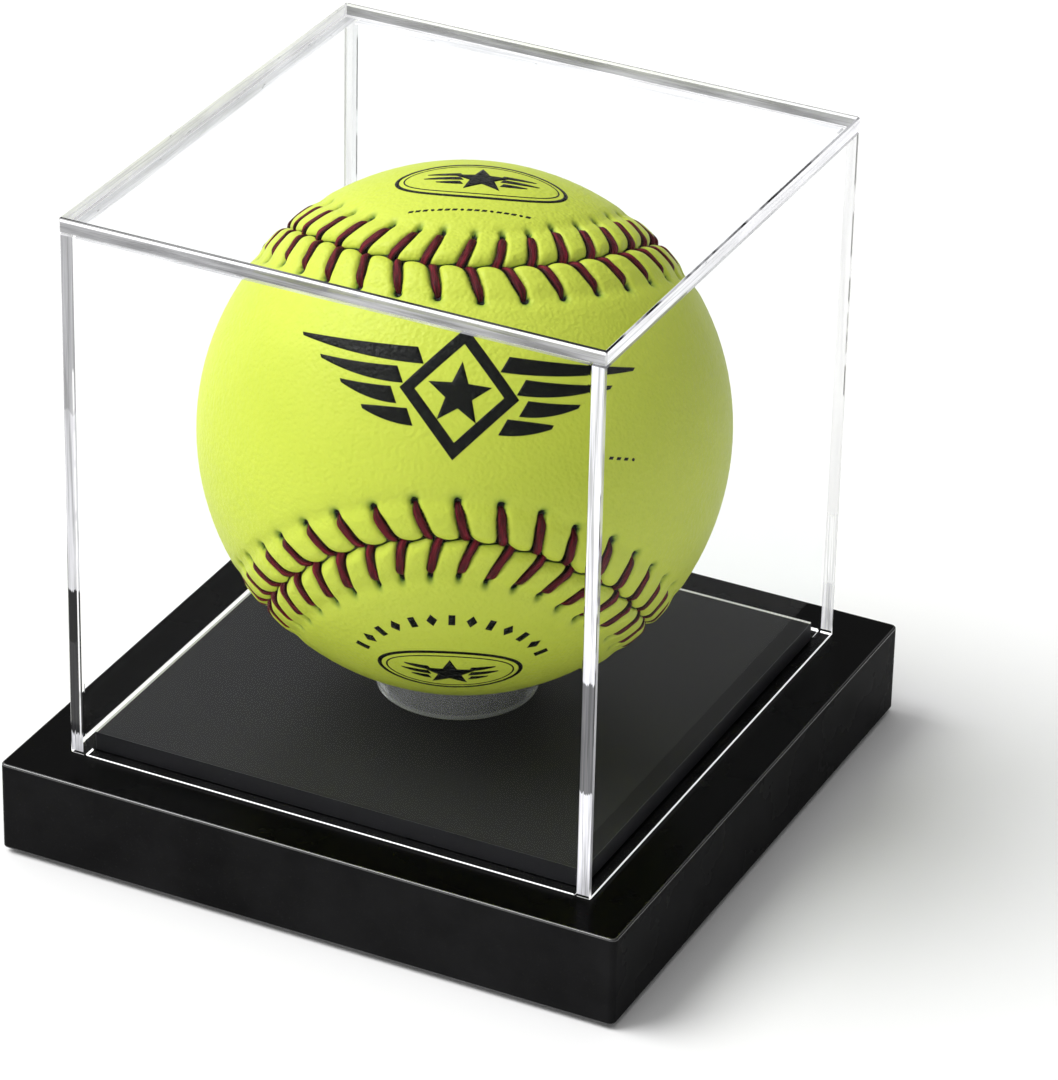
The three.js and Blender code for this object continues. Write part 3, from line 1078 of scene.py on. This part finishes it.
def filled(outlines):
    """Flat outlines, each a rim and its holes, as triangles no longer than a step of the print."""
    bm = bmesh.new()
    for loops in outlines:
        rings = [[Vector((x, y, 0)) for x, y in loop] for loop in loops]
        corners = [bm.verts.new(p) for ring in rings for p in ring]
        for triangle in geometry.tessellate_polygon(rings):
            face = [corners[i] for i in triangle]
            if (face[1].co - face[0].co).cross(face[2].co - face[0].co).z < 0:
                face.reverse()
            bm.faces.new(face)
    for _ in range(MOST_CUTS):
        long_edges = [e for e in bm.edges if e.calc_length() > PRINT_STEP]
        if not long_edges:
            break
        bmesh.ops.subdivide_edges(bm, edges=long_edges, cuts=1)
        bmesh.ops.triangulate(bm, faces=bm.faces[:])
    return bm


def print_patch(name, outlines, angle_up, shift_right, material):
    """Outlines, in millimetres, laid on the ball about a point above the waist's middle."""
    bm = filled(outlines)
    turn = Matrix.Rotation(angle_up, 3, "X") @ Matrix.Rotation(shift_right / BALL_RADIUS, 3, "Z")
    for v in bm.verts:
        reach = v.co.length
        way = v.co / reach if reach > 1e-9 else Vector((0, 0, 0))
        flat = Vector((way.x * math.sin(reach / BALL_RADIUS), -math.cos(reach / BALL_RADIUS), 0))
        flat.z = way.y * math.sin(reach / BALL_RADIUS)
        v.co = BALL_MATRIX @ (turn @ flat * (BALL_RADIUS + PRINT_PROUD))
    mesh = bpy.data.meshes.new(name)
    bm.to_mesh(mesh)
    bm.free()
    obj = finish_object(name, mesh, material)
    film = obj.modifiers.new("film", "SOLIDIFY")
    film.thickness = PRINT_FILM
    film.offset = -1
    stand_for(obj, "ball", "yellow_leather")


def ellipse(half_x, half_y, count=64):
    turns = [2 * math.pi * i / count for i in range(count)]
    return [(half_x * math.cos(a), half_y * math.sin(a)) for a in turns]


STAR_POINTS = 5
STAR_WAIST = 0.42


def star(radius, y):
    corners = []
    for i in range(2 * STAR_POINTS):
        a = math.pi / 2 + math.pi * i / STAR_POINTS
        r = radius if i % 2 == 0 else radius * STAR_WAIST
        corners.append((r * math.cos(a), y + r * math.sin(a)))
    return corners


def moved(outline, x, y, turn=0.0):
    c, s = math.cos(turn), math.sin(turn)
    return [(x + c * a - s * b, y + s * a + c * b) for a, b in outline]


def diamond(half_x, half_y):
    return [(half_x, 0), (0, half_y), (-half_x, 0), (0, -half_y)]


def bar(half_x, half_y):
    return [(-half_x, -half_y), (half_x, -half_y), (half_x, half_y), (-half_x, half_y)]


BAR_STEPS = 14


def wing_bar(start, end, middle, thickness, rise):
    """A bar that tapers to a rounded point and sweeps up along its length."""
    upper, lower = [], []
    for i in range(BAR_STEPS + 1):
        f = i / BAR_STEPS
        x = start + (end - start) * f
        y = middle + rise * f * f
        half = thickness / 2 * (1 - 0.75 * f**2.2)
        lean = 0.45 * half
        upper.append((x + lean, y + half))
        lower.append((x - lean, y - half))
    return upper + lower[::-1]


def emblem():
    """A diamond with a star in it, between two wings of four tapering bars, a little askew."""
    shapes = [[diamond(10.6, 11.9), diamond(7.9, 8.8)[::-1]], [star(5.9, -0.3)]]
    for row in range(4):
        middle = 6.0 - 3.7 * row
        edge = 10.4 * (1 - abs(middle) / 11.6) + 2.4
        feather = wing_bar(edge, 31.0 - 4.6 * row, middle, 3.0, 3.6 - 0.8 * row)
        shapes += [[feather], [[(-x, y) for x, y in feather]]]
    return [[moved(loop, 0, 0, EMBLEM_LEAN) for loop in loops] for loops in shapes]


def oval_badge(half_x, half_y, line):
    shapes = [[ellipse(half_x, half_y), ellipse(half_x - line, half_y - line)[::-1]]]
    inner_x, inner_y = half_x - 2.1 * line, half_y - 2.1 * line
    shapes.append([ellipse(inner_x, inner_y), ellipse(inner_x - 0.28, inner_y - 0.28)[::-1]])
    shapes.append([star(half_y * 0.66, -0.3)])
    for side in (-1, 1):
        for row, reach in ((1.5, 0.62), (-0.4, 0.66), (-2.3, 0.52)):
            feather = wing_bar(3.6, half_x * reach, row, 1.35, 0.5)
            shapes.append([[(side * x, y) for x, y in feather]])
    return shapes


DASH = [(-0.55, -0.28), (0.3, -0.28), (0.55, 0.28), (-0.3, 0.28)]


def dash_row(length, count):
    """A row of short slanted dashes and dots, where small print would be."""
    shapes = []
    for i in range(count):
        x = length * (i / (count - 1) - 0.5)
        if i % 4 == 3:
            shapes.append([moved(ellipse(0.32, 0.32, 12), x, 0)])
        else:
            shapes.append([moved(DASH, x, 0)])
    return shapes


def mark_arc(radius, spread, count):
    """Bold marks around an arc, alternating bars and diamonds."""
    shapes = []
    for i in range(count):
        a = math.pi / 2 + spread * (0.5 - i / (count - 1))
        shape = diamond(1.0, 1.45) if i % 2 else bar(0.62, 1.25)
        shapes.append([moved(shape, radius * math.cos(a), radius * math.sin(a), a - math.pi / 2)])
    return shapes


def make_prints():
    black = ink()
    print_patch("print_emblem", emblem(), -math.radians(1.5), 0.3, black)
    print_patch("print_top_badge", oval_badge(15.8, 8.4, 0.75), -math.radians(61), 1.7, black)
    print_patch("print_top_dashes", dash_row(21, 17), -math.radians(46.5), 0.0, black)
    print_patch("print_low_arc", mark_arc(16.8, math.radians(150), 13), math.radians(70), 0.5, black)
    small = [[moved(loop, 30.5, -8.5) for loop in loops] for loops in dash_row(5.0, 4)]
    print_patch("print_small_dashes", small, 0.0, 0.0, black)
    print_patch("print_low_badge", oval_badge(13.2, 8.0, 0.75), math.radians(70), 0.2, black)


def make_ball():
    hide = yellow_leather()
    front, rear = Legs(1), Legs(-1)
    leather_panel("leather_front_panel", 1, front, "leather_front", hide)
    leather_panel("leather_rear_panel", -1, rear, "leather_rear", hide)
    make_stitches((front, rear))
    make_prints()
    core = frame["nodes"]["ball_core"]
    core.data.materials.clear()
    core.data.materials.append(core_foam())


# =============================== Stage ===============================
FLOOR_SIZE = 6.0
DIM_WORLD = 0.06
BRIGHT_WORLD = 0.86
KEY_AZIMUTH = math.radians(-66)
KEY_ELEVATION = math.radians(52)
KEY_STRENGTH = 2.62
KEY_SOFTNESS = math.radians(38)


def direction_from(azimuth, elevation):
    """From the origin towards a place at an azimuth from -Y, turning to +X, and an elevation."""
    flat = math.cos(elevation)
    return Vector((math.sin(azimuth) * flat, -math.cos(azimuth) * flat, math.sin(elevation)))


def make_world():
    """A white room with its bright side to the left of the camera, behind the key light."""
    world = bpy.data.worlds.new("studio")
    bpy.context.scene.world = world
    world.use_nodes = True
    tree = world.node_tree
    ambient = tree.nodes["Background"]
    coords = tree.nodes.new("ShaderNodeTexCoord")
    facing = tree.nodes.new("ShaderNodeVectorMath")
    facing.operation = "DOT_PRODUCT"
    facing.inputs[1].default_value = direction_from(KEY_AZIMUTH, math.radians(25))
    ramp = tree.nodes.new("ShaderNodeMapRange")
    ramp.interpolation_type = "SMOOTHSTEP"
    for socket, value in zip(ramp.inputs[1:5], (-0.75, 0.85, DIM_WORLD, BRIGHT_WORLD)):
        socket.default_value = value
    tree.links.new(coords.outputs["Generated"], facing.inputs[0])
    tree.links.new(facing.outputs["Value"], ramp.inputs[0])
    tree.links.new(ramp.outputs["Result"], ambient.inputs["Strength"])
    ambient.inputs["Color"].default_value = (1.0, 1.0, 1.0, 1)


def make_stage():
    s = Shader("pale_floor")
    s.set(
        Base_Color=s.mix(s.noise(3, 2.0), (0.90, 0.90, 0.90, 1), (0.915, 0.915, 0.915, 1)),
        Roughness=0.8,
        Specular_IOR_Level=0.1,
    )
    half = FLOOR_SIZE / 2
    corners = [(-half, -half, 0), (half, -half, 0), (half, half, 0), (-half, half, 0)]
    floor = make_object("floor", corners, [(0, 1, 2, 3)], s.material, smooth=False)

    make_world()

    key = bpy.data.lights.new("key", "SUN")
    key.energy = KEY_STRENGTH
    key.angle = KEY_SOFTNESS
    lamp = bpy.data.objects.new("key", key)
    bpy.context.scene.collection.objects.link(lamp)
    lamp.rotation_euler = direction_from(KEY_AZIMUTH, KEY_ELEVATION).to_track_quat("Z", "Y").to_euler()
    bpy.context.scene.view_settings.view_transform = "Standard"


def make_camera():
    data = bpy.data.cameras.new("camera")
    data.lens = CAMERA_LENS
    data.sensor_fit = "VERTICAL"
    data.sensor_height = CAMERA_SENSOR
    data.clip_start = 0.01
    camera = bpy.data.objects.new("camera", data)
    bpy.context.scene.collection.objects.link(camera)
    back = direction_from(CAMERA_AZIMUTH, CAMERA_ELEVATION)
    right = Vector((0, 0, 1)).cross(back).normalized()
    up = back.cross(right)
    turn = Matrix((right, up, back)).transposed()
    camera.matrix_world = (
        Matrix.Translation(CAMERA_AIM + back * CAMERA_DISTANCE)
        @ turn.to_4x4()
        @ Matrix.Rotation(CAMERA_ROLL, 4, "Z")
    )
    bpy.context.scene.camera = camera


make_camera()
make_stage()
make_base()
make_cover()
make_cradle()
make_ball()
